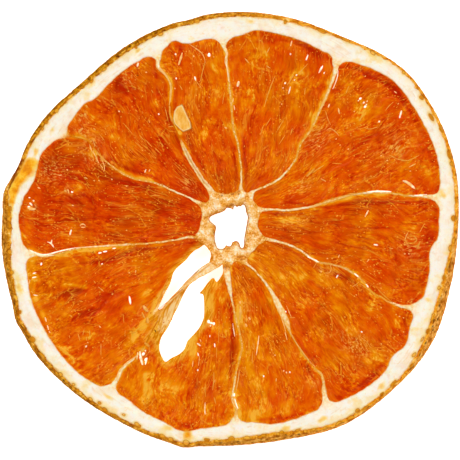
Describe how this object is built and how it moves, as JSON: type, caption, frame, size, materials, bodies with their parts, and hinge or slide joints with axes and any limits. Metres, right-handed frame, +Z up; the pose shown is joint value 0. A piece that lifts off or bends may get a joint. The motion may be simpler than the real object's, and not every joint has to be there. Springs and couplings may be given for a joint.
{
  "type": "dried orange slice",
  "caption": "Thin dried cross-section of an orange: a pale pith ring with its rind, radial membranes round a hollow core, and wrinkled translucent pulp torn beside the core.",
  "frame": {"origin": "centre of the slice's outline, on the surface that it lies on", "axes": "+Z up through the slice, towards the face shown; +X along its longest width"},
  "size_m": [0.0684, 0.0652, 0.004],
  "materials": {
    "pith": "matte",
    "pulp": "gloss",
    "rind": "satin",
    "seed": "satin"
  },
  "bodies": {
    "root": {"pith_frame": "pith", "pulp_01": "pulp", "pulp_02": "pulp", "pulp_03": "pulp", "pulp_04": "pulp", "pulp_05": "pulp", "pulp_06": "pulp", "pulp_07": "pulp", "pulp_08": "pulp", "pulp_09": "pulp", "pulp_10": "pulp"}
  },
  "joints": []
}
